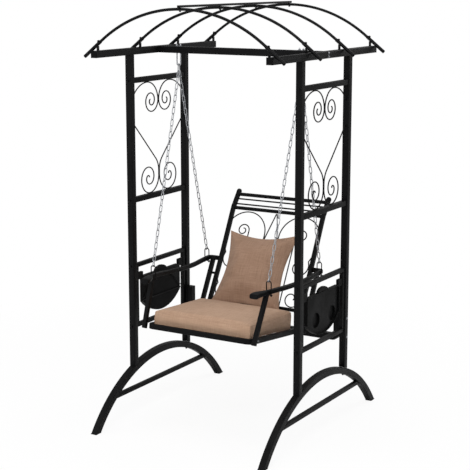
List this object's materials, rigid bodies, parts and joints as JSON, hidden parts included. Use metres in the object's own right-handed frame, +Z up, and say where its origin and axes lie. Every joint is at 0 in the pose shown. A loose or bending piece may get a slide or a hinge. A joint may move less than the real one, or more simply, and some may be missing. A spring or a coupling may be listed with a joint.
{
  "type": "canopy swing chair",
  "caption": "Garden swing chair: a black tube frame on foot arches with an arched roof frame, a cushioned seat hung on chains, and fold-up side trays.",
  "frame": {"origin": "on the floor below the middle of the standing frame", "axes": "+Z up; -Y is the way the sitter faces; +X to the right for someone who looks at the chair from in front"},
  "size_m": [1.0404, 1.1602, 2.0039],
  "materials": {
    "left_foot_arch": "satin black powder coat with a fine texture",
    "left_foot_brace": "satin black powder coat with a fine texture",
    "left_front_post": "satin black powder coat with a fine texture",
    "left_rear_post": "satin black powder coat with a fine texture",
    "left_top_rail": "satin black powder coat with a fine texture",
    "left_middle_rail": "satin black powder coat with a fine texture",
    "left_tray_frame": "satin black powder coat with a fine texture",
    "left_upper_scrolls": "satin black powder coat with a fine texture",
    "left_lower_scrolls": "satin black powder coat with a fine texture",
    "left_roof_beam": "satin black powder coat with a fine texture",
    "left_hanger_bolt": "bright galvanised steel",
    "left_front_foot_cap": "black moulded plastic",
    "left_front_beam_cap": "black moulded plastic",
    "left_rear_foot_cap": "black moulded plastic",
    "left_rear_beam_cap": "black moulded plastic",
    "right_foot_arch": "satin black powder coat with a fine texture",
    "right_foot_brace": "satin black powder coat with a fine texture",
    "right_front_post": "satin black powder coat with a fine texture",
    "right_rear_post": "satin black powder coat with a fine texture",
    "right_top_rail": "satin black powder coat with a fine texture",
    "right_middle_rail": "satin black powder coat with a fine texture",
    "right_tray_frame": "satin black powder coat with a fine texture",
    "right_upper_scrolls": "satin black powder coat with a fine texture",
    "right_lower_scrolls": "satin black powder coat with a fine texture",
    "right_roof_beam": "satin black powder coat with a fine texture",
    "right_hanger_bolt": "bright galvanised steel",
    "right_front_foot_cap": "black moulded plastic",
    "right_front_beam_cap": "black moulded plastic",
    "right_rear_foot_cap": "black moulded plastic",
    "right_rear_beam_cap": "black moulded plastic",
    "rear_stretcher": "satin black powder coat with a fine texture",
    "cross_beam": "satin black powder coat with a fine texture",
    "ridge_bar": "satin black powder coat with a fine texture",
    "roof_arch_1": "satin black powder coat with a fine texture",
    "roof_arch_2": "satin black powder coat with a fine texture",
    "roof_arch_3": "satin black powder coat with a fine texture",
    "roof_arch_4": "satin black powder coat with a fine texture",
    "left_hanger_link": "bright galvanised steel",
    "left_front_chain": "bright galvanised steel",
    "left_front_arm_bolt": "satin black powder coat with a fine texture",
    "left_rear_chain": "bright galvanised steel",
    "left_rear_arm_bolt": "satin black powder coat with a fine texture",
    "left_arm": "satin black powder coat with a fine texture",
    "right_hanger_link": "bright galvanised steel",
    "right_front_chain": "bright galvanised steel",
    "right_front_arm_bolt": "satin black powder coat with a fine texture",
    "right_rear_chain": "bright galvanised steel",
    "right_rear_arm_bolt": "satin black powder coat with a fine texture",
    "right_arm": "satin black powder coat with a fine texture",
    "seat_frame": "satin black powder coat with a fine texture",
    "back_frame": "satin black powder coat with a fine texture",
    "seat_cushion": "tan woven polyester",
    "back_pillow": "tan woven polyester",
    "left_tray": "black moulded plastic",
    "left_stay": "satin black powder coat with a fine texture",
    "right_tray": "black moulded plastic",
    "right_stay": "satin black powder coat with a fine texture"
  },
  "bodies": {
    "frame": {"left_foot_arch": "left_foot_arch", "left_foot_brace": "left_foot_brace", "left_front_post": "left_front_post", "left_rear_post": "left_rear_post", "left_top_rail": "left_top_rail", "left_middle_rail": "left_middle_rail", "left_tray_frame": "left_tray_frame", "left_upper_scrolls": "left_upper_scrolls", "left_lower_scrolls": "left_lower_scrolls", "left_roof_beam": "left_roof_beam", "left_hanger_bolt": "left_hanger_bolt", "left_front_foot_cap": "left_front_foot_cap", "left_front_beam_cap": "left_front_beam_cap", "left_rear_foot_cap": "left_rear_foot_cap", "left_rear_beam_cap": "left_rear_beam_cap", "right_foot_arch": "right_foot_arch", "right_foot_brace": "right_foot_brace", "right_front_post": "right_front_post", "right_rear_post": "right_rear_post", "right_top_rail": "right_top_rail", "right_middle_rail": "right_middle_rail", "right_tray_frame": "right_tray_frame", "right_upper_scrolls": "right_upper_scrolls", "right_lower_scrolls": "right_lower_scrolls", "right_roof_beam": "right_roof_beam", "right_hanger_bolt": "right_hanger_bolt", "right_front_foot_cap": "right_front_foot_cap", "right_front_beam_cap": "right_front_beam_cap", "right_rear_foot_cap": "right_rear_foot_cap", "right_rear_beam_cap": "right_rear_beam_cap", "rear_stretcher": "rear_stretcher", "cross_beam": "cross_beam", "ridge_bar": "ridge_bar", "roof_arch_1": "roof_arch_1", "roof_arch_2": "roof_arch_2", "roof_arch_3": "roof_arch_3", "roof_arch_4": "roof_arch_4"},
    "swing": {"left_hanger_link": "left_hanger_link", "left_front_chain": "left_front_chain", "left_front_arm_bolt": "left_front_arm_bolt", "left_rear_chain": "left_rear_chain", "left_rear_arm_bolt": "left_rear_arm_bolt", "left_arm": "left_arm", "right_hanger_link": "right_hanger_link", "right_front_chain": "right_front_chain", "right_front_arm_bolt": "right_front_arm_bolt", "right_rear_chain": "right_rear_chain", "right_rear_arm_bolt": "right_rear_arm_bolt", "right_arm": "right_arm", "seat_frame": "seat_frame", "back_frame": "back_frame", "seat_cushion": "seat_cushion", "back_pillow": "back_pillow"},
    "left_tray": {"left_tray": "left_tray"},
    "left_stay": {"left_stay": "left_stay"},
    "right_tray": {"right_tray": "right_tray"},
    "right_stay": {"right_stay": "right_stay"}
  },
  "joints": [
    {"name": "swing_hinge", "type": "hinge", "parent": "frame", "child": "swing", "pos_m": [0, 0, 1.707], "axis": [1, 0, 0], "range_deg": [-20, 20]},
    {"name": "left_tray_hinge", "type": "hinge", "parent": "frame", "child": "left_tray", "pos_m": [-0.4524, 0, 0.7056], "axis": [0, 1, 0], "range_deg": [0, 90]},
    {"name": "left_stay_hinge", "type": "hinge", "parent": "left_tray", "child": "left_stay", "pos_m": [-0.4379, 0, 0.65], "axis": [0, -1, 0], "range_deg": [0, 129]},
    {"name": "right_tray_hinge", "type": "hinge", "parent": "frame", "child": "right_tray", "pos_m": [0.4524, 0, 0.7056], "axis": [0, -1, 0], "range_deg": [0, 90]},
    {"name": "right_stay_hinge", "type": "hinge", "parent": "right_tray", "child": "right_stay", "pos_m": [0.4379, 0, 0.65], "axis": [0, 1, 0], "range_deg": [0, 129]}
  ],
  "couplings": [
    {"joint": "left_stay_hinge", "follows": "left_tray_hinge", "ratio": 1.433},
    {"joint": "right_stay_hinge", "follows": "right_tray_hinge", "ratio": 1.433}
  ]
}
